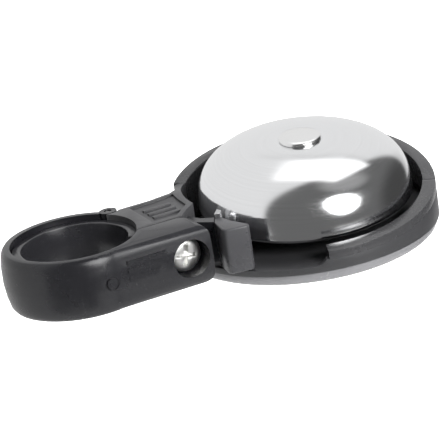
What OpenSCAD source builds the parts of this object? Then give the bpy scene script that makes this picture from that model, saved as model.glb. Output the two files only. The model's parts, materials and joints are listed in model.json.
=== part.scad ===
// Bicycle bell on a one-sided handlebar clamp: a gong in an open round housing,
// struck by a sprung finger lever. Origin: middle of the clamp bore, half way up
// it. +Z runs along the bar axis, up through the gong side; +X runs from the
// clamp to the bell; the lever and the clamp screw are on the -Y side. Millimetres.

/* [Clamp] */
// Bar gripped by the liner
bar_d = 22.2; // [21:0.1:25]
// Wall of the liner
liner_t = 1.9; // [1.5:0.1:2.3]
// Height of strap, jaw and web
clamp_h = 12.4; // [12:0.2:15]
// Strap wall at half height
strap_t = 2.5; // [2:0.1:3]
// Reach of the ear past the strap, to its rounded end
ear_l = 7.9; // [7.6:0.1:8.8]

/* [Bell] */
// Clamp axis to bell axis; a wider clamp pushes the bell further out
reach = 52.4; // [52:0.4:64]
// Housing, outer diameter
housing_d = 56.8; // [54:0.4:57]
// Width of the housing's top band
band_w = 2.8; // [2.4:0.1:3.2]
// Gong, rim diameter
gong_d = 45.8; // [41.8:0.4:46.6]
// Gong, rim to crown
gong_h = 13; // [11:0.2:14.4]
// Gong, sheet thickness
gong_t = 1.3; // [1:0.1:1.6]
// Roundness of the gong's shoulder, 2 is an ellipse
gong_n = 2.8; // [2.2:0.1:3.2]
// Lean of the gong toward the lever, degrees
lean = 7.4; // [5:0.2:9]
// Lean of the housing's top band toward the lever, degrees
band_lean = 10; // [7:0.5:11]
// Rise of the top band toward the end away from the clamp, degrees
band_rise = 1.8; // [0:0.2:3]
// Depth of the domed pan under the housing
pan_h = 4.6; // [4.2:0.1:6]

/* [Striker] */
// Gap between hammer and gong at rest
strike_gap = 0.5; // [0.4:0.1:1]
// Height of the lever
lever_h = 10; // [8:0.5:10.5]
// Thickness of the flexing arm
leaf_t = 2.2; // [1.6:0.1:2.6]

/* [Fasteners] */
// Clamp screw thread
screw_d = 4; // [3.5:0.1:4.2]
// Clamp screw head
head_d = 7.6; // [7:0.1:7.6]
// Nut across flats, both nuts
nut_s = 7; // [6.5:0.1:7.2]
// Clamp nut thickness; the gong bolt's thin nut is 0.76 of it
nut_m = 3; // [2.4:0.1:3.2]
// Gong bolt thread
bolt_d = 4; // [3.5:0.1:4.5]
// Gong bolt head
boss_d = 9; // [7:0.2:10]
// Hinge pin of the strap
pin_d = 1.6; // [1.2:0.1:2]

/* [Hidden] */
$fn = 96;
hh = clamp_h / 2;
bar_r = bar_d / 2;
liner_r = bar_r + liner_t;
jaw_r = liner_r + 0.05;
strap_ri = liner_r + 0.2;
strap_ro = strap_ri + strap_t;
housing_r = housing_d / 2;
band_ri = housing_r - band_w;
wall_ri = housing_r - 1.4;
floor_z = -hh - 0.5;
floor_t = 1.3;
band_t = 1.8;
ring_z = hh - 3.6;
gong_r = gong_d / 2;
gong_rim = -1.9;
crown = gong_rim + gong_h;
gap = 0.4;
split_y = -jaw_r * sin(28);
blend_in = 0.35;
ear_x = strap_ro + ear_l;
screw_x = ear_x - head_d / 2 - 0.9;
bell_x = max(reach, screw_x + 33.5);
gong_at = [bell_x + 0.4, -0.6, 0];
cb_r = head_d / 2 + 0.2;
seat_y = -strap_ro + 6.1;
washer_t = 0.5;
head_h = 2.1;
screw_l = 16;
nut_y = seat_y - washer_t + screw_l - nut_m - 0.6;
back_y = 8.7;
hinge_a = 39.5;
hinge_rr = 1.9;
hinge_r = strap_ri + hinge_rr + 0.05;
hx = hinge_r * cos(hinge_a);
hy = hinge_r * sin(hinge_a);
seam_a = 141;
notch_a = -108;
seam_b = -31;
lever_top = hh - 1.6;
lever_bot = max(lever_top - lever_h, floor_z + floor_t + 0.25);
post_r = 3.2;
hub_h = -6;
seat_r = 5.5;
seat_t = 0.9;
bolt_head_t = 0.7;
pan_z = floor_z - pan_h;
lock_t = 0.5;
thin_m = nut_m * 0.76;
lock_top = (floor_z - 0.5 - ring_z - 4.3 * sin(lean)) / cos(lean);
nut_h = lock_top - lock_t - thin_m;

// Gong frame: its z axis is the gong bolt.
module bell() {
    translate(gong_at + [0, 0, ring_z]) rotate([lean, -band_rise / 2, 0]) children();
}

module at_bell() {
    translate([bell_x, 0, 0]) children();
}

// Wedge in plan from angle a to angle b, for cutting rings.
module sector(a, b, r, z0, z1) {
    n = ceil((b - a) / 30);
    translate([0, 0, z0]) linear_extrude(z1 - z0) polygon(concat([[0, 0]],
        [for (i = [0:n]) let(t = a + (b - a) * i / n) [r * cos(t), r * sin(t)]]));
}

// Everything lower than h above the band's sloping top.
module under(h) {
    translate([bell_x, 0, ring_z]) rotate([band_lean, -band_rise, 0])
        translate([-100, -100, h - 100]) cube([200, 200, 100]);
}

module tube(ro, ri, z0, z1) {
    translate([0, 0, z0]) difference() {
        cylinder(h = z1 - z0, r = ro);
        translate([0, 0, -1]) cylinder(h = z1 - z0 + 2, r = ri);
    }
}

module y_cyl(x, z, r, y0, y1) {
    translate([x, y0, z]) rotate([-90, 0, 0]) cylinder(h = y1 - y0, r = r);
}

module hex(r, h) {
    cylinder(h = h, r = r, $fn = 6);
}

// Plan of the web, from the jaw to the housing wall.
web_pts = [[8, split_y], [bell_x - 30.6, split_y],
    [bell_x - 28.1, -3.1], [bell_x - band_ri, -0.7], [bell_x - band_ri + 4, -0.7],
    [bell_x - 16, 14], [bell_x - 20.9, 17.6], [bell_x - 22.4, 16.2], [bell_x - 23.6, 12.6],
    [bell_x - 26.3, 10.1], [bell_x - 31.4, back_y], [8, back_y]];

// Recessed field on top of the web.
field_pts = [[strap_ro, split_y + 1.3], [bell_x - 31.1, split_y + 1.3],
    [bell_x - 29, -2.4], [bell_x - 27, -0.2], [bell_x - 26.8, 4.5],
    [bell_x - 26.2, 8.6], [bell_x - 31.2, back_y - 1.3], [strap_ro, back_y - 1.3]];

module web() {
    difference() {
        translate([0, 0, -hh]) linear_extrude(clamp_h) polygon(web_pts);
        at_bell() translate([0, 0, floor_z + floor_t]) cylinder(h = clamp_h, r = band_ri);
        at_bell() sector(60, seam_a, 60, floor_z + floor_t, 30);
        translate([0, 8, hh]) rotate([-8.2, 0, 0]) cube([bell_x, 30, 10]);
        difference() {
            translate([0, 0, hh - 0.5]) linear_extrude(1) polygon(field_pts);
            for (i = [0:2])
                translate([strap_ro + 1.5, -2.2 + i * 2.6, hh - 0.6])
                    cube([bell_x - strap_ro - 30.5, 1, 0.5]);
        }
    }
}

// Rounded foot of the wall where the finger notch ends.
module notch_corner(r) {
    intersection() {
        at_bell() tube(housing_r, wall_ri, floor_z + floor_t / 2, hh);
        at_bell() rotate([0, 0, notch_a]) difference() {
            translate([20, -r, floor_z + floor_t - 0.1]) cube([12, r + 0.1, r + 0.1]);
            translate([0, -r, floor_z + floor_t + r]) rotate([0, 90, 0]) cylinder(h = 40, r = r);
        }
    }
}

module bracket_body() color([0.09, 0.09, 0.1]) {
    difference() {
        union() {
            web();
            at_bell() translate([0, 0, floor_z]) cylinder(h = floor_t, r = housing_r);
            difference() {
                at_bell() tube(housing_r, wall_ri, floor_z + floor_t / 2, hh + 6);
                difference() {
                    translate([bell_x - 50, -50, -20]) cube([100, 100, 60]);
                    under(-band_t);
                }
                at_bell() sector(seam_a, 360 + notch_a, 60, floor_z + floor_t, 30);
            }
            intersection() {
                notch_corner(3);
                under(-band_t);
            }
            intersection() {
                bell() translate([0, 0, -20]) cylinder(h = 20 + hub_h, r = 6);
                at_bell() translate([0, 0, floor_z]) cylinder(h = 12, r = 12);
            }
            translate([hx, hy, -2.4]) cylinder(h = 4.8, r = hinge_rr);
            translate([hx, hy - 4, -2.4]) cube([4, 4, 4.8]);
        }
        translate([0, 0, -hh - 1]) cylinder(h = clamp_h + 2, r = jaw_r);
        translate([jaw_r - 0.5, -1.6, -1.6]) cube([1.6, 3.2, 3.2]);
        for (z0 = [2.4, -hh - 1]) translate([hx, hy, z0])
            cylinder(h = hh + 1 - 2.4, r = hinge_rr + 0.35);
        translate([hx, hy, -hh]) cylinder(h = clamp_h, r = pin_d / 2 + 0.02);
        y_cyl(screw_x, 0, screw_d / 2 + 0.15, split_y - 2, back_y + 1);
        translate([screw_x, nut_y, 0]) rotate([-90, 0, 0])
            hex(nut_s / 2 / cos(30) + 0.1, 20);
        bell() translate([0, 0, -20]) cylinder(h = 20, r = bolt_d / 2 + 0.1);
    }
}

function pan_r(t) = housing_r * 0.985 * pow(cos(t), 0.62);
function pan_d(t) = -pan_h * pow(sin(t), 0.62);

module base_pan() color([0.1, 0.1, 0.11]) {
    n = 14;
    difference() {
        union() {
            at_bell() translate([0, 0, floor_z]) rotate_extrude() polygon(concat(
                [for (i = [0:n]) let(t = 90 * i / n) [pan_r(t), pan_d(t)]],
                [[0, -pan_h + 1.2], [pan_r(60) - 1.2, -pan_h + 1.5],
                 [pan_r(30) - 1.3, pan_d(30) + 1.2], [pan_r(0) - 1.4, 0]]));
            intersection() {
                bell() translate([0, 0, -20]) cylinder(h = 20, r = 6.2);
                at_bell() translate([0, 0, pan_z + 0.4]) cylinder(h = pan_h - 0.4, r = 12);
            }
        }
        bell() translate([0, 0, -20]) cylinder(h = 20, r = bolt_d / 2 + 0.1);
        bell() translate([0, 0, -20]) hex(nut_s / 2 / cos(30) + 0.1,
            20 + lock_top);
    }
}

// Top band from angle a to angle b with a skirt that locates it in the wall.
module rim(a, b) {
    intersection() {
        difference() {
            at_bell() tube(housing_r, band_ri, floor_z + floor_t, hh + 6);
            difference() {
                translate([bell_x - 50, -50, -20]) cube([100, 100, 60]);
                under(0);
            }
            difference() {
                at_bell() tube(housing_r + 1, wall_ri - 0.08, -20, 20);
                difference() {
                    translate([bell_x - 50, -50, -20]) cube([100, 100, 60]);
                    under(0.02 - band_t);
                }
            }
            at_bell() translate([0, 0, -20])
                cylinder(h = 20 + floor_z + floor_t + 2.2, r = wall_ri);
        }
        at_bell() sector(a, b, 60, -20, 40);
    }
}

module rear_rim() color([0.14, 0.14, 0.15]) rim(seam_b + 0.15, seam_a - 0.2);

module front_rim() color([0.14, 0.14, 0.15]) rim(notch_a, seam_b - 0.15);

function gong_pt(t, r, h) = [r * pow(cos(t), 2 / gong_n), h * pow(sin(t), 2 / gong_n)];

module gong() color([0.82, 0.82, 0.84]) bell() translate([0, 0, gong_rim]) {
    n = 22;
    rotate_extrude() polygon(concat(
        [for (i = [0:n - 1]) gong_pt(90 * i / n, gong_r, gong_h)],
        [[bolt_d / 2 + 0.2, gong_h], [bolt_d / 2 + 0.2, gong_h - gong_t]],
        [[seat_r + 0.1, gong_h - gong_t]],
        [for (i = [n - 1:-1:0]) let(p = gong_pt(90 * i / n, gong_r - gong_t, gong_h - gong_t))
            if (p[0] > seat_r + 0.3) p]));
}

module gong_bolt() color([0.84, 0.84, 0.86]) bell() translate([0, 0, crown])
    rotate_extrude() polygon([[0, nut_h - crown - 0.4], [bolt_d / 2, nut_h - crown - 0.4],
        [bolt_d / 2, 0], [boss_d / 2, 0], [boss_d / 2, bolt_head_t * 0.6],
        [boss_d / 2 - 0.3, bolt_head_t], [0, bolt_head_t + 0.2]]);

module gong_seat_washer() color([0.85, 0.83, 0.78]) bell()
    tube(seat_r, bolt_d / 2 + 0.1, crown - gong_t - seat_t, crown - gong_t);

module gong_post() color([0.62, 0.6, 0.55]) bell()
    tube(post_r, bolt_d / 2 + 0.08, hub_h, crown - gong_t - seat_t);

module gong_lock_washer() color([0.6, 0.6, 0.62]) bell()
    tube(3.4, bolt_d / 2 + 0.08, lock_top - lock_t, lock_top);

module gong_nut() color([0.66, 0.66, 0.68]) bell() translate([0, 0, nut_h])
    difference() {
        hex(nut_s / 2 / cos(30), thin_m);
        translate([0, 0, -1]) cylinder(h = thin_m + 2, r = bolt_d / 2 + 0.02);
    }

// Bulge of the strap's outside, from bottom to top: radius and height.
bulge = [[strap_ro - 1.2, -hh], [strap_ro - 0.7, -hh + 0.7],
    [strap_ro - 0.25, -hh * 0.55], [strap_ro, -hh * 0.1], [strap_ro - 0.1, hh * 0.4],
    [strap_ro - 0.45, hh - 1.3], [strap_ro - 0.7, hh - 0.6], [strap_ro - 1.2, hh]];

module strap_wall(a, b) {
    rotate([0, 0, a]) rotate_extrude(angle = b - a) polygon(concat(
        [[strap_ri - 0.6, -hh]], bulge, [[strap_ri - 0.6, hh]]));
}

// Ear outline seen along Y: right end rounded.
module ear_side() {
    c = 2.3;
    polygon(concat([[-1, -hh], [-1, hh]],
        [for (i = [0:6]) [ear_x - c + c * sin(15 * i), hh - c + c * cos(15 * i)]],
        [for (i = [0:6]) [ear_x - c + c * cos(15 * i), -hh + c - c * sin(15 * i)]]));
}

module clamp_strap() color([0.1, 0.1, 0.11]) {
    difference() {
        union() {
            strap_wall(hinge_a + 5, 328);
            intersection() {
                translate([0, 0, 0.03 - hh]) linear_extrude(clamp_h - 0.06) polygon([
                    [1, -20], [ear_x, -20], [ear_x, seat_y + 0.2],
                    [ear_x - 3.2, split_y - gap], [6, split_y - gap], [1, -10]]);
                rotate([90, 0, 90]) translate([0, 0, -1]) linear_extrude(ear_x + 2)
                    polygon(concat([[0, -hh]],
                        [for (p = bulge) [blend_in - p[0], p[1]]], [[0, hh]]));
                rotate([90, 0, 0]) linear_extrude(20) ear_side();
            }
            for (z0 = [2.6, -hh]) translate([hx, hy, z0])
                cylinder(h = hh - 2.6, r = hinge_rr);
            for (i = [0:2]) translate([5, blend_in - strap_ro - 0.15, hh - 3.4 - i * 1.7])
                cube([8.5 - i, 1, 0.8]);
        }
        translate([0, 0, -hh - 1]) cylinder(h = clamp_h + 2, r = strap_ri);
        translate([hx, hy, -2.6]) cylinder(h = 5.2, r = hinge_rr + 0.35);
        translate([hx, hy, -hh + 1]) cylinder(h = clamp_h, r = pin_d / 2 + 0.02);
        y_cyl(screw_x, 0, cb_r, -30, seat_y);
        y_cyl(screw_x, 0, screw_d / 2 + 0.2, -30, 0);
        difference() {
            y_cyl(1.2, 0.1, 1.5, -30, -strap_ro + 0.4);
            y_cyl(1.2, 0.1, 1.1, -30, -strap_ro + 0.5);
        }
    }
}

module strap_hinge_pin() color([0.55, 0.55, 0.57]) translate([hx, hy, -hh + 1.05])
    cylinder(h = clamp_h - 1.3, r = pin_d / 2);

module clamp_liner() color([0.13, 0.13, 0.14]) {
    difference() {
        union() {
            rotate([0, 0, -30]) rotate_extrude(angle = 346) polygon([
                [bar_r, -hh + 0.6], [liner_r, -hh + 0.6], [liner_r, hh - 1.2],
                [bar_r, hh - 1.2]]);
            translate([liner_r - 0.6, -1.5, -1.5]) cube([1.5, 3, 3]);
        }
        translate([0, 0, -hh]) cylinder(h = clamp_h, r = bar_r);
    }
}

module clamp_screw() color([0.75, 0.75, 0.77]) {
    y0 = seat_y - washer_t;
    difference() {
        union() {
            translate([screw_x, y0, 0]) rotate([90, 0, 0]) rotate_extrude() polygon([
                [0, 0], [head_d / 2, 0], [head_d / 2, head_h * 0.45],
                [head_d / 2 * 0.93, head_h * 0.75], [head_d / 2 * 0.72, head_h * 0.95],
                [head_d / 2 * 0.4, head_h], [0, head_h]]);
            y_cyl(screw_x, 0, screw_d / 2, y0 - 0.1, y0 + screw_l);
        }
        for (a = [0, 90]) translate([screw_x, y0 - head_h, 0]) rotate([0, a + 12, 0])
            translate([-2.1, -1, -0.45]) cube([4.2, 2.3, 0.9]);
    }
}

module clamp_washer() color([0.7, 0.7, 0.72]) difference() {
    y_cyl(screw_x, 0, head_d / 2 - 0.05, seat_y - washer_t, seat_y);
    y_cyl(screw_x, 0, screw_d / 2 + 0.08, seat_y - 2, seat_y + 2);
}

module clamp_nut() color([0.62, 0.62, 0.64]) difference() {
    translate([screw_x, nut_y, 0]) rotate([-90, 0, 0])
        hex(nut_s / 2 / cos(30), nut_m);
    y_cyl(screw_x, 0, screw_d / 2 + 0.02, nut_y - 1, nut_y + nut_m + 1);
}

// Lever plan, measured from the bell axis.
root_lo = [-30.58, split_y - 0.01];
root_hi = [-28.08, -3.11];
neck = [-27.6, -7.3];
head_lo = [-25.8, -10.9];
head_hi = [-24.5, -8.4];
strike_r = gong_r + strike_gap;

module leaf_plan() {
    k = leaf_t / 2;
    polygon([root_lo, neck + [-0.68 * k, -0.73 * k], head_lo, head_hi,
        neck + [0.68 * k, 0.73 * k], root_hi]);
}

module striker_leaf() color([0.12, 0.12, 0.13]) at_bell()
    translate([0, 0, lever_bot + 1]) linear_extrude(lever_top - lever_bot - 1) leaf_plan();

module striker_lever() color([0.12, 0.12, 0.13]) at_bell()
    translate([0, 0, lever_bot]) linear_extrude(lever_top - lever_bot) polygon([
        head_lo, [-26.5, -15.9], [-26.1, -17.1], [-21.6, -18.1], [-20.9, -17.5],
        [-22.7, -12.4], [-23.2, -8.9], head_hi]);

module striker_hammer() color([0.6, 0.6, 0.62]) at_bell()
    translate([0, 0, 1]) linear_extrude(hh - 1.9) polygon([head_hi, [-23.2, -8.9],
        [-strike_r * cos(18), -strike_r * sin(18)], [-strike_r * cos(14.5), -strike_r * sin(14.5)]]);

bracket_body();
base_pan();
rear_rim();
front_rim();
gong();
gong_bolt();
gong_seat_washer();
gong_post();
gong_lock_washer();
gong_nut();
clamp_strap();
strap_hinge_pin();
clamp_liner();
clamp_screw();
clamp_washer();
clamp_nut();
striker_leaf();
striker_lever();
striker_hammer();
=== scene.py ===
# %% [markdown]
# # Bicycle bell on a one-sided handlebar clamp
#
# The bell is a low aluminium gong leaning a little toward its finger lever, in a round
# black housing that is moulded in one with the web and the fixed jaw of the clamp.
# A bulged strap with an ear closes round the bar and is drawn up by one bright screw.
# The fixed frame of working solids is loaded first; every visible piece is then either
# one of those solids with its finish, or a piece modelled over the solid it stands for.

# %% Load the frame
import json
import math
import bpy
from mathutils import Matrix, Vector

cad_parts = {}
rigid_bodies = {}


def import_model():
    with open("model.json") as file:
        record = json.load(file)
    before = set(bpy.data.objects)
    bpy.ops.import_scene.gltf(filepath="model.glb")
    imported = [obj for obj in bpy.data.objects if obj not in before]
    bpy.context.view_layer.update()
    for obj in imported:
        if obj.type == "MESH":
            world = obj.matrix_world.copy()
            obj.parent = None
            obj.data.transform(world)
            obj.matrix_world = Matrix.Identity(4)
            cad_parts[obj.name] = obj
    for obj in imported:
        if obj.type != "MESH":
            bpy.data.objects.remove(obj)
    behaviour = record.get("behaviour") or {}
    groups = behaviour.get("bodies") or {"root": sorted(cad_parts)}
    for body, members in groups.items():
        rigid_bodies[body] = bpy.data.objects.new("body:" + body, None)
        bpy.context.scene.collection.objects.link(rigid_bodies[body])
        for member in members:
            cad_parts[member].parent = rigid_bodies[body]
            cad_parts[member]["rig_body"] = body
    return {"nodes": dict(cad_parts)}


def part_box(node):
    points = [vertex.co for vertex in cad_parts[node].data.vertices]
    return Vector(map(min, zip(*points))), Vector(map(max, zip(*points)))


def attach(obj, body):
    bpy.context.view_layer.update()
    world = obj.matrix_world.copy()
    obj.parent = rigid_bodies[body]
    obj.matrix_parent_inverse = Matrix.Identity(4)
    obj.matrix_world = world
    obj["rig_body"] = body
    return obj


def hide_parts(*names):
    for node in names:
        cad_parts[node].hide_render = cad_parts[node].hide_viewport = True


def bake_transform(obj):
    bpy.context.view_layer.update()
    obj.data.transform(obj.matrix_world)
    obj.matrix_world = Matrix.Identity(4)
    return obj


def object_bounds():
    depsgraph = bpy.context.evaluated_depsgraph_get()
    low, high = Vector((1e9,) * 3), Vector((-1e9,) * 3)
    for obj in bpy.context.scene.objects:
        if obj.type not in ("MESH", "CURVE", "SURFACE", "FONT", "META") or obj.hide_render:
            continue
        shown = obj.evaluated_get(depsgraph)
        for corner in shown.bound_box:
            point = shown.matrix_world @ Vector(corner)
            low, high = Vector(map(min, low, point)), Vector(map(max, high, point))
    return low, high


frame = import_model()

START_BOUNDS = [list(v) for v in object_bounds()]
NODES = frame["nodes"]
print("nodes", len(NODES), "bounds", START_BOUNDS)

# %% [markdown]
# The gong does not stand upright: its bolt leans toward the lever. The seat washer under
# the crown and the lock washer under the housing are both plain discs, so the line
# through their centres is the gong's axis, and everything turned is built about it.

# %% Find the gong's axis
def centre(node):
    low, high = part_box(node)
    return (low + high) / 2


GONG_AXIS = (centre("gong_seat_washer") - centre("gong_lock_washer")).normalized()
GONG_FOOT = centre("gong_seat_washer")
GONG_LEAN = GONG_AXIS.to_track_quat("Z", "Y").to_matrix().to_4x4()
GONG_FRAME = Matrix.Translation(GONG_FOOT) @ GONG_LEAN


def heights_and_radii(node):
    """Where a solid's points lie along the gong's axis, and how far from it."""
    heights, radii = [], []
    for point in NODES[node].data.vertices:
        from_foot = point.co - GONG_FOOT
        height = from_foot.dot(GONG_AXIS)
        heights.append(height)
        radii.append((from_foot - GONG_AXIS * height).length)
    return heights, radii


gong_heights, gong_radii = heights_and_radii("gong")
GONG_RIM, GONG_CROWN, GONG_R = min(gong_heights), max(gong_heights), max(gong_radii)
print("gong radius %.4f height %.4f" % (GONG_R, GONG_CROWN - GONG_RIM))

# %% [markdown]
# ## Shared shader effects
#
# The finishes share a few effects, each kept in a group so that it can be tuned once:
# the fine skin of a moulded part, handling marks that dull a gloss in patches, and the
# concentric lines that a lathe and a polishing wheel leave. The helpers below each add
# one node; an input may be a number or the output of another node.

# %% Shader node helpers
def new_group(name, inputs, outputs):
    g = bpy.data.node_groups.new(name, "ShaderNodeTree")
    for label, kind, value in inputs:
        s = g.interface.new_socket(name=label, in_out="INPUT", socket_type=kind)
        if value is not None:
            s.default_value = value
    for label, kind in outputs:
        g.interface.new_socket(name=label, in_out="OUTPUT", socket_type=kind)
    return g, g.nodes.new("NodeGroupInput"), g.nodes.new("NodeGroupOutput")


def feed(g, socket, value):
    if isinstance(value, bpy.types.NodeSocket):
        g.links.new(value, socket)
    else:
        socket.default_value = value


def noise(g, vector, scale, detail=4.0, rough=0.5):
    n = g.nodes.new("ShaderNodeTexNoise")
    for label, value in zip(("Vector", "Scale", "Detail", "Roughness"),
                            (vector, scale, detail, rough)):
        feed(g, n.inputs[label], value)
    return n.outputs[0]


def remap(g, value, a, b, c=0.0, d=1.0, kind="LINEAR"):
    n = g.nodes.new("ShaderNodeMapRange")
    n.interpolation_type = kind
    for label, limit in zip(("From Min", "From Max", "To Min", "To Max"), (a, b, c, d)):
        n.inputs[label].default_value = limit
    g.links.new(value, n.inputs["Value"])
    return n.outputs["Result"]


def maths(g, op, a, b=0.0):
    n = g.nodes.new("ShaderNodeMath")
    n.operation = op
    feed(g, n.inputs[0], a)
    feed(g, n.inputs[1], b)
    return n.outputs[0]


def mix_colour(g, factor, first, second):
    # A Mix node keeps its colours in inputs 6 and 7, and gives the mixed one in output 2.
    n = g.nodes.new("ShaderNodeMix")
    n.data_type = "RGBA"
    feed(g, n.inputs[0], factor)
    for i, colour in ((6, first), (7, second)):
        feed(g, n.inputs[i], (*colour, 1) if isinstance(colour, tuple) else colour)
    return n.outputs[2]


# %% [markdown]
# A mould is etched with a fine even texture, which breaks up the gloss of the plastic.
# Two sizes of noise give its height, and a much larger one varies the gloss slowly, as
# the flow of the melt does.

# %% Moulded skin
def moulded_skin_group():
    g, i, o = new_group("moulded_skin",
                        [("Vector", "NodeSocketVector", None), ("Base", "NodeSocketFloat", 0.42)],
                        [("Height", "NodeSocketFloat"), ("Roughness", "NodeSocketFloat"),
                         ("Patch", "NodeSocketFloat")])
    fine = noise(g, i.outputs["Vector"], 5200, 2, 0.6)
    mid = noise(g, i.outputs["Vector"], 900, 3, 0.55)
    slow = noise(g, i.outputs["Vector"], 70, 4, 0.6)
    height = maths(g, "ADD", fine, maths(g, "MULTIPLY", mid, 0.6))
    rough = maths(g, "ADD", i.outputs["Base"], remap(g, slow, 0.3, 0.7, -0.05, 0.07))
    g.links.new(height, o.inputs["Height"])
    g.links.new(rough, o.inputs["Roughness"])
    g.links.new(slow, o.inputs["Patch"])
    return g


# %% [markdown]
# A part that has been handled carries faint smears, and a little dust. Only the peaks of
# each noise are kept, so that most of the surface stays clean.

# %% Handling marks
def handling_group():
    g, i, o = new_group("handling_marks", [("Vector", "NodeSocketVector", None)],
                        [("Smear", "NodeSocketFloat"), ("Dust", "NodeSocketFloat")])
    smear = noise(g, i.outputs["Vector"], 120, 6, 0.65)
    dust = noise(g, i.outputs["Vector"], 2600, 2, 0.5)
    g.links.new(remap(g, smear, 0.42, 0.72), o.inputs["Smear"])
    g.links.new(remap(g, dust, 0.68, 0.74), o.inputs["Dust"])
    return g


# %% [markdown]
# A lathe and a polishing wheel leave rings about the part's axis. The noise is read at
# the distance from the axis and the height, and not at the angle, so it closes into rings.

# %% Turned lines
def turned_group():
    g, i, o = new_group("turned_lines",
                        [("Vector", "NodeSocketVector", None), ("Pitch", "NodeSocketFloat", 5200.0)],
                        [("Height", "NodeSocketFloat"), ("Line", "NodeSocketFloat")])
    xyz = g.nodes.new("ShaderNodeSeparateXYZ")
    g.links.new(i.outputs["Vector"], xyz.inputs[0])
    x, y, z = xyz.outputs
    square = maths(g, "ADD", maths(g, "MULTIPLY", x, x), maths(g, "MULTIPLY", y, y))
    ring = g.nodes.new("ShaderNodeCombineXYZ")
    g.links.new(maths(g, "POWER", square, 0.5), ring.inputs[0])
    g.links.new(maths(g, "MULTIPLY", z, 0.8), ring.inputs[1])
    rings = noise(g, ring.outputs[0], i.outputs["Pitch"], 3)
    g.links.new(rings, o.inputs["Height"])
    g.links.new(remap(g, rings, 0.35, 0.65), o.inputs["Line"])
    return g


SKIN, HANDLING, TURNED = moulded_skin_group(), handling_group(), turned_group()
print("groups", [g.name for g in (SKIN, HANDLING, TURNED)])

# %% [markdown]
# ## Finishes
#
# Every finish keeps its own Principled shader. Plastics are nearly black and take their
# shape from how broad their highlights are; the metals take theirs from turned lines.

# %% Material helpers
def start_material(name, **values):
    m = bpy.data.materials.new(name)
    m.use_nodes = True
    b = m.node_tree.nodes["Principled BSDF"]
    for k, v in values.items():
        b.inputs[k.replace("_", " ")].default_value = v
    c = m.node_tree.nodes.new("ShaderNodeTexCoord")
    return m, m.node_tree, b, c.outputs["Object"]


def use(nt, group, vector, **values):
    n = nt.nodes.new("ShaderNodeGroup")
    n.node_tree = group
    nt.links.new(vector, n.inputs["Vector"])
    for k, v in values.items():
        n.inputs[k].default_value = v
    return n


def bump(nt, shader, height, distance, strength):
    n = nt.nodes.new("ShaderNodeBump")
    n.inputs["Distance"].default_value = distance
    n.inputs["Strength"].default_value = strength
    nt.links.new(height, n.inputs["Height"])
    nt.links.new(n.outputs["Normal"], shader.inputs["Normal"])


# %% [markdown]
# The bell has several plastics that differ only in colour, gloss and grain: the satin
# strap and arm, the duller bracket, the glossier top bands, the smooth pan, the liner,
# the lever and one natural nylon washer. The pan's grey is a painted reflection of the
# pale floor on black plastic, and the lever's lighter black is painted light on its lit
# front face. One function makes them all.

# %% Moulded plastics
SKIN_DEPTH = 0.00005
DUST_GREY, DUST_AMOUNT, SMEAR_DULLING = (0.16, 0.16, 0.16), 0.12, 0.05


def moulded_plastic(name, dark, light, rough, grain=0.35, coat=0.0):
    m, nt, b, v = start_material(name, Specular_IOR_Level=0.5, Coat_Weight=coat,
                                 Coat_Roughness=0.25)
    skin = use(nt, SKIN, v, Base=rough)
    marks = use(nt, HANDLING, v)
    colour = mix_colour(nt, skin.outputs["Patch"], dark, light)
    dust = maths(nt, "MULTIPLY", marks.outputs["Dust"], DUST_AMOUNT)
    smear = maths(nt, "MULTIPLY", marks.outputs["Smear"], SMEAR_DULLING)
    nt.links.new(mix_colour(nt, dust, colour, DUST_GREY), b.inputs["Base Color"])
    nt.links.new(maths(nt, "ADD", skin.outputs["Roughness"], smear), b.inputs["Roughness"])
    bump(nt, b, skin.outputs["Height"], SKIN_DEPTH, grain)
    return m


SATIN_BLACK = moulded_plastic("satin_black_moulding", (0.006, 0.006, 0.007),
                              (0.010, 0.010, 0.012), rough=0.24, grain=0.3)
# The lever's lighter black is painted light: a brighter copy of the black plastic stands in for the
# light on its front face.
LEVER_BLACK_PAINTED_LIGHT = moulded_plastic("lever_black_painted_light", (0.026, 0.026, 0.028),
                              (0.04, 0.04, 0.043), rough=0.27, grain=0.25)
BODY_BLACK = moulded_plastic("bracket_black_moulding", (0.02, 0.02, 0.021),
                             (0.03, 0.03, 0.032), rough=0.36)
BAND_BLACK = moulded_plastic("top_band_moulding", (0.02, 0.02, 0.021),
                             (0.032, 0.032, 0.034), rough=0.24, grain=0.25)
# The pan's light grey is a painted reflection: it stands in for the pale floor seen in its black
# plastic.
PAN_PAINTED_REFLECTION_GREY = moulded_plastic("pan_painted_floor_reflection", (0.10, 0.10, 0.105),
                           (0.14, 0.14, 0.145), rough=0.22, grain=0.12, coat=0.3)
LINER_BLACK = moulded_plastic("liner_moulding", (0.008, 0.008, 0.009),
                              (0.014, 0.014, 0.016), rough=0.2, grain=0.12)
NYLON = moulded_plastic("natural_nylon", (0.62, 0.58, 0.5),
                        (0.7, 0.67, 0.6), rough=0.45, grain=0.2)

# %% [markdown]
# The metals are turned, plated or polished. Each takes its rings about an axis: the
# gong's for the gong and its boss, and the screw's for the plated parts. The sleeve, the
# pin and the hammer are hidden or small, and keep the frame's own upright axis.

# %% Metals
LINE_DEPTH = 0.00002
LINE_DARKENING, LINE_DULLING, METAL_SMEAR = 0.965, 0.03, 0.04


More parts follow.
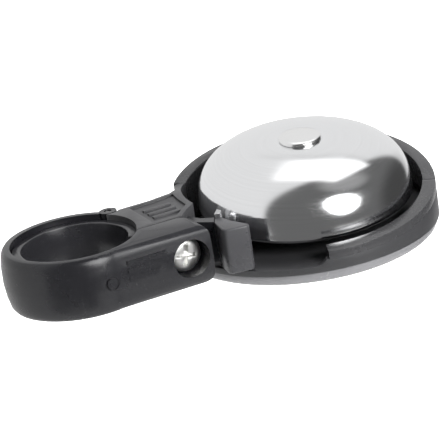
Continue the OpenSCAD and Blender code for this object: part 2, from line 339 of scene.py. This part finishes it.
def turned_metal(name, colour, rough, pitch, lines, axis=None):
    m, nt, b, v = start_material(name, Metallic=1.0)
    if axis is not None:
        place = nt.nodes.new("ShaderNodeMapping")
        place.vector_type = "TEXTURE"
        place.inputs["Location"].default_value = axis.to_translation()
        place.inputs["Rotation"].default_value = axis.to_euler()
        nt.links.new(v, place.inputs["Vector"])
        v = place.outputs["Vector"]
    turned = use(nt, TURNED, v, Pitch=pitch)
    marks = use(nt, HANDLING, v)
    darker = tuple(c * LINE_DARKENING for c in colour)
    nt.links.new(mix_colour(nt, turned.outputs["Line"], darker, colour), b.inputs["Base Color"])
    dulling = maths(nt, "ADD", maths(nt, "MULTIPLY", turned.outputs["Line"], LINE_DULLING),
                    maths(nt, "MULTIPLY", marks.outputs["Smear"], METAL_SMEAR))
    nt.links.new(maths(nt, "ADD", rough, dulling), b.inputs["Roughness"])
    bump(nt, b, turned.outputs["Height"], LINE_DEPTH, lines)
    return m


SCREW_FRAME = Matrix.Translation(centre("clamp_washer")) @ Matrix.Rotation(math.pi / 2, 4, "X")
GONG_METAL = turned_metal("polished_gong_aluminium", (0.865, 0.87, 0.88), 0.12,
                          pitch=4200.0, lines=0.025, axis=GONG_FRAME)
BOSS_METAL = turned_metal("turned_boss_aluminium", (0.88, 0.88, 0.88), 0.2,
                          pitch=6500.0, lines=0.12, axis=GONG_FRAME)
ZINC = turned_metal("bright_zinc_plate", (0.9, 0.9, 0.88), 0.36,
                    pitch=6500.0, lines=0.1, axis=SCREW_FRAME)
SLEEVE = turned_metal("turned_steel", (0.52, 0.52, 0.52), 0.3, pitch=7500.0, lines=0.2)
HAMMER_STEEL = turned_metal("bare_hammer_steel", (0.62, 0.62, 0.63), 0.3,
                            pitch=5000.0, lines=0.2)
print("materials", len(bpy.data.materials))

# %% [markdown]
# ## Pieces over the solids
#
# A working solid has knife-sharp edges, and a moulding does not. Each moulded or machined
# piece is therefore a copy of its solid: its loose triangles are merged, flat faces are
# dissolved back to whole faces, sharp corners get a small radius, and the round faces are
# shaded smooth. Where a corner is shorter than its radius the rounding leaves faces of no
# size, so points that meet are merged again. The solid is then replaced by the piece.

# %% Copy a solid and round its corners
WELD = 0.000002
FLAT_ANGLE, SMOOTH_ANGLE = math.radians(0.6), math.radians(40)


def add_object(name, data):
    made = bpy.data.objects.new(name, data)
    bpy.context.scene.collection.objects.link(made)
    return made


def pick(piece):
    bpy.ops.object.select_all(action="DESELECT")
    bpy.context.view_layer.objects.active = piece
    piece.select_set(True)


def edit(piece):
    pick(piece)
    bpy.ops.object.mode_set(mode="EDIT")
    bpy.ops.mesh.select_mode(type="VERT")
    bpy.ops.mesh.select_all(action="SELECT")


def leave():
    bpy.ops.object.mode_set(mode="OBJECT")


def apply(piece, name, kind, **values):
    mod = piece.modifiers.new(name, kind)
    for k, v in values.items():
        setattr(mod, k, v)
    pick(piece)
    bpy.ops.object.modifier_apply(modifier=mod.name)


def rounded_copy(node, name, material, radius, segments=2, angle=32):
    piece = add_object(name, NODES[node].data.copy())
    piece.data.materials.clear()
    piece.data.materials.append(material)
    edit(piece)
    bpy.ops.mesh.remove_doubles(threshold=WELD)
    bpy.ops.mesh.customdata_custom_splitnormals_clear()
    bpy.ops.mesh.normals_make_consistent(inside=False)
    bpy.ops.mesh.dissolve_limited(angle_limit=FLAT_ANGLE)
    leave()
    if radius:
        apply(piece, "corner_radius", "BEVEL", width=radius, segments=segments,
              limit_method="ANGLE", angle_limit=math.radians(angle), use_clamp_overlap=True,
              miter_outer="MITER_ARC")
        edit(piece)
        bpy.ops.mesh.remove_doubles(threshold=WELD)
        bpy.ops.mesh.dissolve_degenerate(threshold=WELD)
        leave()
    pick(piece)
    bpy.ops.object.shade_smooth_by_angle(angle=SMOOTH_ANGLE)
    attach(piece, NODES[node]["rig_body"])
    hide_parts(node)
    print(name, len(piece.data.polygons), "faces")
    return piece


# %% [markdown]
# The bracket is the big moulding: jaw, web, housing floor and outer wall. The strap, the
# two top bands and the pan are mouldings of the same kind, with softer corners where a
# hand or the bar touches them.

# %% Mouldings
rounded_copy("bracket_body", "bracket_moulding", BODY_BLACK, 0.00022)
rounded_copy("clamp_strap", "strap_moulding", SATIN_BLACK, 0.00035, segments=3, angle=25)
rounded_copy("rear_rim", "rear_top_band", BAND_BLACK, 0.0003)
rounded_copy("front_rim", "front_top_band", BAND_BLACK, 0.0003)
rounded_copy("base_pan", "pan_moulding", PAN_PAINTED_REFLECTION_GREY, 0.0002)
rounded_copy("clamp_liner", "liner_moulding_piece", LINER_BLACK, 0.0003)
rounded_copy("striker_lever", "lever_moulding", LEVER_BLACK_PAINTED_LIGHT, 0.0004, segments=3)

# %% [markdown]
# The screw, washers, nuts, pin and hammer are small metal parts; their corners are
# broken just enough to catch a line of light. The seat washer is nylon, cut the same way.

# %% Small turned and stamped parts
rounded_copy("clamp_screw", "pan_head_screw", ZINC, 0.00012)
rounded_copy("clamp_washer", "screw_washer", ZINC, 0.00008, segments=1)
rounded_copy("clamp_nut", "captive_nut", ZINC, 0.0002)
rounded_copy("gong_nut", "bolt_nut", ZINC, 0.0002)
rounded_copy("gong_lock_washer", "bolt_lock_washer", ZINC, 0.0001, segments=1)
rounded_copy("strap_hinge_pin", "hinge_pin", SLEEVE, 0.0001, segments=1)
rounded_copy("gong_post", "gong_sleeve", SLEEVE, 0.00015, segments=1)
rounded_copy("gong_seat_washer", "seat_washer", NYLON, 0.00015, segments=1)
rounded_copy("striker_hammer", "hammer_nose", HAMMER_STEEL, 0.00008, segments=1)

# %% [markdown]
# ## Gong
#
# The gong is spun from sheet: a wide, slightly crowned top, a full round shoulder and a
# steep skirt that ends in a narrow rolled lip. It is drawn as a profile and turned about
# its own leaning axis, so its highlight runs round it without a facet.

# %% Helper for turned pieces
TURN_WELD, TURN_SMOOTH_ANGLE = 0.0000005, math.radians(38)


def turned_piece(name, profile, steps, material, body, node):
    mesh = bpy.data.meshes.new(name)
    edges = [(i, i + 1) for i in range(len(profile) - 1)]
    mesh.from_pydata([(r, 0, h) for r, h in profile], edges, [])
    piece = add_object(name, mesh)
    apply(piece, "turn", "SCREW", angle=math.tau, steps=steps, render_steps=steps,
          screw_offset=0, use_merge_vertices=True, merge_threshold=TURN_WELD)
    piece.data.transform(GONG_FRAME)
    piece.data.materials.append(material)
    edit(piece)
    bpy.ops.mesh.remove_doubles(threshold=TURN_WELD)
    bpy.ops.mesh.normals_make_consistent(inside=False)
    leave()
    bpy.ops.object.shade_smooth_by_angle(angle=TURN_SMOOTH_ANGLE)
    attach(piece, body)
    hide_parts(node)
    print(name, len(piece.data.polygons), "faces")
    return piece


# %% [markdown]
# The dome is a quarter of a squarish oval. A power of 2 would make it a plain ellipse;
# a higher one flattens the top and fills out the shoulder. Its steps are closest at the
# skirt, where the curve turns fastest for a given angle.

# %% Turn the gong
SHEET, LIP, BOLT_HOLE_R, SQUARENESS = 0.0013, 0.0011, 0.0023, 2.8
OUTER_ANGLES = [0.02, 0.2, 0.7, 1.5, 2.5, 4, 6, 8.5, 11.5, 15, 19, 23.5, 28, 33, 38, 43, 48,
                53, 58, 63, 68, 73, 78, 82, 85.5, 88]
INNER_ANGLES = [87, 80, 70, 60, 50, 40, 30, 22, 15, 9, 5, 2, 0.5]
GONG_STEPS = 144
LIP_OFFSETS = [(-0.0009, 0.0001), (-0.0002, 0), (0.00006, 0.0003), (0.0001, 0.0007),
               (0.00008, LIP)]


def dome(angles, radius, crown, lowest):
    """Points of a dome of this radius and crown that lie above the lowest height."""
    points = []
    for t in map(math.radians, angles):
        across = radius * math.cos(t) ** (2 / SQUARENESS)
        height = GONG_RIM + (crown - GONG_RIM) * math.sin(t) ** (2 / SQUARENESS)
        if height > lowest:
            points.append((across, height))
    return points


outer = dome(OUTER_ANGLES, GONG_R, GONG_CROWN, GONG_RIM + LIP + 0.0003)
inner = dome(INNER_ANGLES, GONG_R - SHEET, GONG_CROWN - SHEET, GONG_RIM + 0.0006)
lip = [(GONG_R + r, GONG_RIM + h) for r, h in LIP_OFFSETS]
lip.append((outer[0][0] + 0.00002, GONG_RIM + LIP + 0.00025))
bolt_hole = [(BOLT_HOLE_R, GONG_CROWN), (BOLT_HOLE_R, GONG_CROWN - SHEET)]
turned_piece("spun_gong", lip + outer + bolt_hole + inner + [lip[0]], GONG_STEPS,
             GONG_METAL, "bracket", "gong")

# %% [markdown]
# The boss on the crown is the head of the bolt that holds the gong: a low flat disc with
# a softly rounded edge, with its shank running down inside the sleeve.

# %% Turn the boss and bolt
SHANK_R, SHANK_CHAMFER, BOSS_STEPS = 0.002, 0.0003, 96
bolt_heights, bolt_radii = heights_and_radii("gong_bolt")
top, bottom, boss_r = max(bolt_heights), min(bolt_heights), max(bolt_radii)
boss_top = [(0, top), (boss_r * 0.45, top - 0.00003), (boss_r * 0.8, top - 0.0001),
            (boss_r - 0.0003, top - 0.0002), (boss_r - 0.00008, top - 0.00038),
            (boss_r, top - 0.0006), (boss_r, GONG_CROWN + 0.00001)]
shank = [(SHANK_R, GONG_CROWN), (SHANK_R, bottom + SHANK_CHAMFER),
         (SHANK_R - SHANK_CHAMFER, bottom), (0, bottom)]
turned_piece("boss_and_bolt", boss_top + shank, BOSS_STEPS, BOSS_METAL,
             "bracket", "gong_bolt")

# %% [markdown]
# ## Flexing arm
#
# The lever is carried by a thin arm of the same plastic that grows out of the web and
# bends when the tab is flicked. The piece is cut into many short lengths and taken off
# its body, with its place baked into its points.

# %% Shape the arm
ROOT_BACK, TIP_INSIDE, IN_FROM_FAR_FACE, ARM_CUTS = 0.0026, 0.0012, 0.0012, 7


def flexing_arm():
    piece = rounded_copy("striker_leaf", "flexing_arm", SATIN_BLACK, 0)
    edit(piece)
    bpy.ops.mesh.quads_convert_to_tris()
    bpy.ops.mesh.subdivide(number_cuts=ARM_CUTS)
    leave()
    place = piece.matrix_world.copy()
    piece.parent = None
    piece.matrix_world = place
    return piece


arm = flexing_arm()
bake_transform(arm)

# %% [markdown]
# ## Studio
#
# The bell is shown over a plain pale floor. What a polished gong looks like is decided by
# what stands round it, so the room is built as cards seen only in reflections: pale walls
# behind and to the left, dark ones in front and to the right, a softbox overhead at the
# back right, one round lamp in front, and a strip of white table low in front.
#
# A direction is given in degrees: how far it is turned from the front, which is the
# lever's side, toward the bell's end, and how far it is raised.

# %% Helpers for directions and cards
def facing_axes(azimuth, elevation):
    """The direction itself, and what is sideways and upward when looking back along it."""
    a, e = math.radians(azimuth), math.radians(elevation)
    direction = Vector((math.cos(e) * math.sin(a), -math.cos(e) * math.cos(a), math.sin(e)))
    sideways = Vector((math.cos(a), math.sin(a), 0))
    return direction, sideways, direction.cross(sideways)


def direction_to(azimuth, elevation):
    return facing_axes(azimuth, elevation)[0]


def blend_value(g, factor, a, b):
    # A Mix node keeps its plain numbers in inputs 2 and 3.
    n = g.nodes.new("ShaderNodeMix")
    n.data_type = "FLOAT"
    for i, value in ((0, factor), (2, a), (3, b)):
        feed(g, n.inputs[i], value)
    return n.outputs[0]


room = bpy.data.worlds.new("studio_room")
bpy.context.scene.world = room
room.use_nodes = True
rt = room.node_tree
ray = rt.nodes.new("ShaderNodeTexCoord").outputs["Generated"]


def along(axis):
    """How far the ray points along an axis: the cosine of the angle between them."""
    n = rt.nodes.new("ShaderNodeVectorMath")
    n.operation = "DOT_PRODUCT"
    n.inputs[1].default_value = axis
    rt.links.new(ray, n.inputs[0])
    return n.outputs["Value"]


def smooth(value, start, full):
    return remap(rt, value, start, full, kind="SMOOTHSTEP")


def times(*values):
    product = values[0]
    for value in values[1:]:
        product = maths(rt, "MULTIPLY", product, value)
    return product


# %% [markdown]
# The walls come first, pale on one side and dark on the other, with a darker patch at the
# far right. Each edge is a smooth step, because a card out of focus has no hard edge.

# %% Walls
PALE_WALL, DARK_WALL, SIDE_DIMMING = 0.85, 0.145, 0.45
WALL_EDGE, SIDE_PATCH_EDGE = (-0.09, 0.02), (0.75, 0.97)
FRONT_RIGHT, FAR_RIGHT, DOWN = direction_to(22, 0), direction_to(88, -5), Vector((0, 0, -1))

wall = blend_value(rt, smooth(along(FRONT_RIGHT), *WALL_EDGE), PALE_WALL, DARK_WALL)
side_patch = smooth(along(FAR_RIGHT), *SIDE_PATCH_EDGE)
wall = blend_value(rt, side_patch, wall, times(wall, SIDE_DIMMING))

# %% [markdown]
# The softbox is a bright rectangle. Two axes laid across it measure how far a ray falls
# from its middle, and a thin darker line under it stands for its frame.

# %% Softbox and its frame
SOFTBOX, SOFTBOX_LEVEL, FRAME_DIMMING = (130, 62), 1.5, 0.3
SIDE_EDGE, LOW_EDGE, TOP_EDGE, BACK_EDGE = (0.33, 0.25), (-0.235, -0.20), (0.34, 0.22), (0.5, 0.6)
FRAME_BELOW, FRAME_EDGE, FRAME_END = 0.26, (0.05, 0.0), (0.5, 0.2)

box_dir, box_side, box_up = facing_axes(*SOFTBOX)
beside, height = along(box_side), along(box_up)
off_middle = maths(rt, "ABSOLUTE", beside)
off_frame = maths(rt, "ABSOLUTE", maths(rt, "ADD", height, FRAME_BELOW))
above = smooth(along(box_dir), *BACK_EDGE)
inside = times(smooth(off_middle, *SIDE_EDGE), smooth(height, *LOW_EDGE),
               smooth(height, *TOP_EDGE))
frame_line = times(smooth(off_frame, *FRAME_EDGE), smooth(off_middle, *FRAME_END), above)
unframed = maths(rt, "SUBTRACT", 1.0, times(frame_line, FRAME_DIMMING))
wall = blend_value(rt, times(inside, above), times(wall, unframed), SOFTBOX_LEVEL)

# %% [markdown]
# The round lamp is an oval card in the same direction as the lamp that lights the bell.
# A dim card fills the gap between the lamp and the softbox, and the white table is the
# part of the floor that a low ray meets.

# %% Round lamp, dim card and table
ROUND_LAMP, LAMP_HALF_WIDTH, LAMP_HALF_HEIGHT = (15, 25), 0.27, 0.39
LAMP_LEVEL, LAMP_EDGE, LAMP_BACK_EDGE = 8.0, (1.5, 0.6), (0.4, 0.6)
DIM_CARD, DIM_CARD_LEVEL, DIM_CARD_EDGE = (62, 62), 0.22, (0.93, 0.99)
TABLE, TABLE_LEVEL, TABLE_END = (22, -27), 0.95, (0.93, 0.97)
TABLE_FAR_EDGE, UNDERNEATH = (0.36, 0.46), (0.58, 0.75)

lamp_dir, lamp_side, lamp_up = facing_axes(*ROUND_LAMP)
lamp_x = maths(rt, "DIVIDE", along(lamp_side), LAMP_HALF_WIDTH)
lamp_y = maths(rt, "DIVIDE", along(lamp_up), LAMP_HALF_HEIGHT)
from_lamp = maths(rt, "ADD", times(lamp_x, lamp_x), times(lamp_y, lamp_y))
lamp_disc = times(smooth(from_lamp, *LAMP_EDGE), smooth(along(lamp_dir), *LAMP_BACK_EDGE))
dim_card = smooth(along(direction_to(*DIM_CARD)), *DIM_CARD_EDGE)
wall = maths(rt, "ADD", wall, times(dim_card, DIM_CARD_LEVEL))
wall = blend_value(rt, lamp_disc, wall, LAMP_LEVEL)
table = times(smooth(along(DOWN), *TABLE_FAR_EDGE),
              smooth(along(direction_to(*TABLE)), *TABLE_END))
table = maths(rt, "MAXIMUM", table, smooth(along(DOWN), *UNDERNEATH))
wall = blend_value(rt, table, wall, TABLE_LEVEL)

# %% [markdown]
# Only reflections see the cards. Everything else is lit by a plain even level, and the
# view itself looks out on white.

# %% Who sees the room
AMBIENT, BACKDROP = 0.42, 1.0

path = rt.nodes.new("ShaderNodeLightPath")
seen = blend_value(rt, path.outputs["Is Glossy Ray"], AMBIENT, wall)
seen = blend_value(rt, path.outputs["Is Camera Ray"], seen, BACKDROP)
back = rt.nodes["Background"]
rt.links.new(seen, back.inputs["Strength"])
back.inputs["Color"].default_value = (1, 1, 1, 1)
print("room nodes", len(rt.nodes))

# %% [markdown]
# The floor is matt and pale. It lets reflections through to the cards, as a real table
# would be cut short in front of the bell for the same reason, and it is clear from below
# so that the pan can be looked at.

# %% Floor
FLOOR_HALF, FLOOR_DROP = 3.0, 0.055

floor_z = START_BOUNDS[0][2] - FLOOR_DROP
corners = [(x * FLOOR_HALF, y * FLOOR_HALF, floor_z)
           for x, y in ((-1, -1), (1, -1), (1, 1), (-1, 1))]
floor_mesh = bpy.data.meshes.new("studio_floor")
floor_mesh.from_pydata(corners, [], [(0, 1, 2, 3)])
floor = add_object("studio_floor", floor_mesh)
pale, ft, shader, _ = start_material("pale_floor", Roughness=0.9, Emission_Strength=0.35,
                                     Base_Color=(0.93, 0.93, 0.93, 1),
                                     Emission_Color=(1, 1, 1, 1))
clear = ft.nodes.new("ShaderNodeBsdfTransparent")
swap = ft.nodes.new("ShaderNodeMixShader")
from_below = ft.nodes.new("ShaderNodeNewGeometry").outputs["Backfacing"]
mirrored = ft.nodes.new("ShaderNodeLightPath").outputs["Is Glossy Ray"]
ft.links.new(maths(ft, "MAXIMUM", from_below, mirrored), swap.inputs[0])
ft.links.new(shader.outputs[0], swap.inputs[1])
ft.links.new(clear.outputs[0], swap.inputs[2])
ft.links.new(swap.outputs[0], ft.nodes["Material Output"].inputs["Surface"])
floor_mesh.materials.append(pale)
print("floor at %.4f" % floor_z)


# %% [markdown]
# Two lamps light the bell: a large soft one overhead at the back, and a small round one
# in front. Both are hidden from reflections, where the cards stand in for them.

# %% Lamps
def soft_lamp(name, place, aim, size, power, shape="SQUARE"):
    data = bpy.data.lights.new(name, "AREA")
    data.shape = shape
    data.size = size
    data.energy = power
    lamp = add_object(name, data)
    lamp.location = place
    lamp.rotation_euler = (Vector(aim) - Vector(place)).to_track_quat("-Z", "Y").to_euler()
    lamp.visible_glossy = False
    return lamp


SOFTBOX_OFFSET, ROUND_LAMP_REACH = Vector((0.25, 0.35, 0.8)), 0.75
MIDDLE = (Vector(START_BOUNDS[0]) + Vector(START_BOUNDS[1])) / 2
soft_lamp("overhead_softbox", MIDDLE + SOFTBOX_OFFSET, MIDDLE, size=0.8, power=15.0)
soft_lamp("round_lamp", MIDDLE + direction_to(*ROUND_LAMP) * ROUND_LAMP_REACH, MIDDLE,
          size=0.3, power=11.0, shape="DISK")
print("lamps", len(bpy.data.lights))

# %% [markdown]
# ## Camera
#
# The bell is looked at from the lever's side and the clamp's end, a little above, through
# a long lens that keeps the far side nearly as large as the near one. The camera is also
# rolled about its line of sight, so that the bell lies aslant in the view.

# %% Camera
AZIMUTH, ELEVATION, ROLL, REACH = -22.5, 19.25, math.radians(-9.1), 0.4325
LENS, SENSOR = 167.31818181818182, 36
TARGET = Vector((0.03345, 0.0022, -0.0003))

out, side, up = facing_axes(AZIMUTH, ELEVATION)
side, up = (side * math.cos(ROLL) + up * math.sin(ROLL),
            up * math.cos(ROLL) - side * math.sin(ROLL))
view = bpy.data.cameras.new("view")
view.sensor_width = SENSOR
view.lens = LENS
view.clip_start = 0.01
camera = add_object("view", view)
turn = Matrix((side, up, out)).transposed().to_4x4()
camera.matrix_world = Matrix.Translation(TARGET + out * REACH) @ turn
bpy.context.scene.camera = camera
bpy.context.scene.view_settings.view_transform = "Standard"
print("camera lens %.1f mm at %.4f m" % (view.lens, REACH))
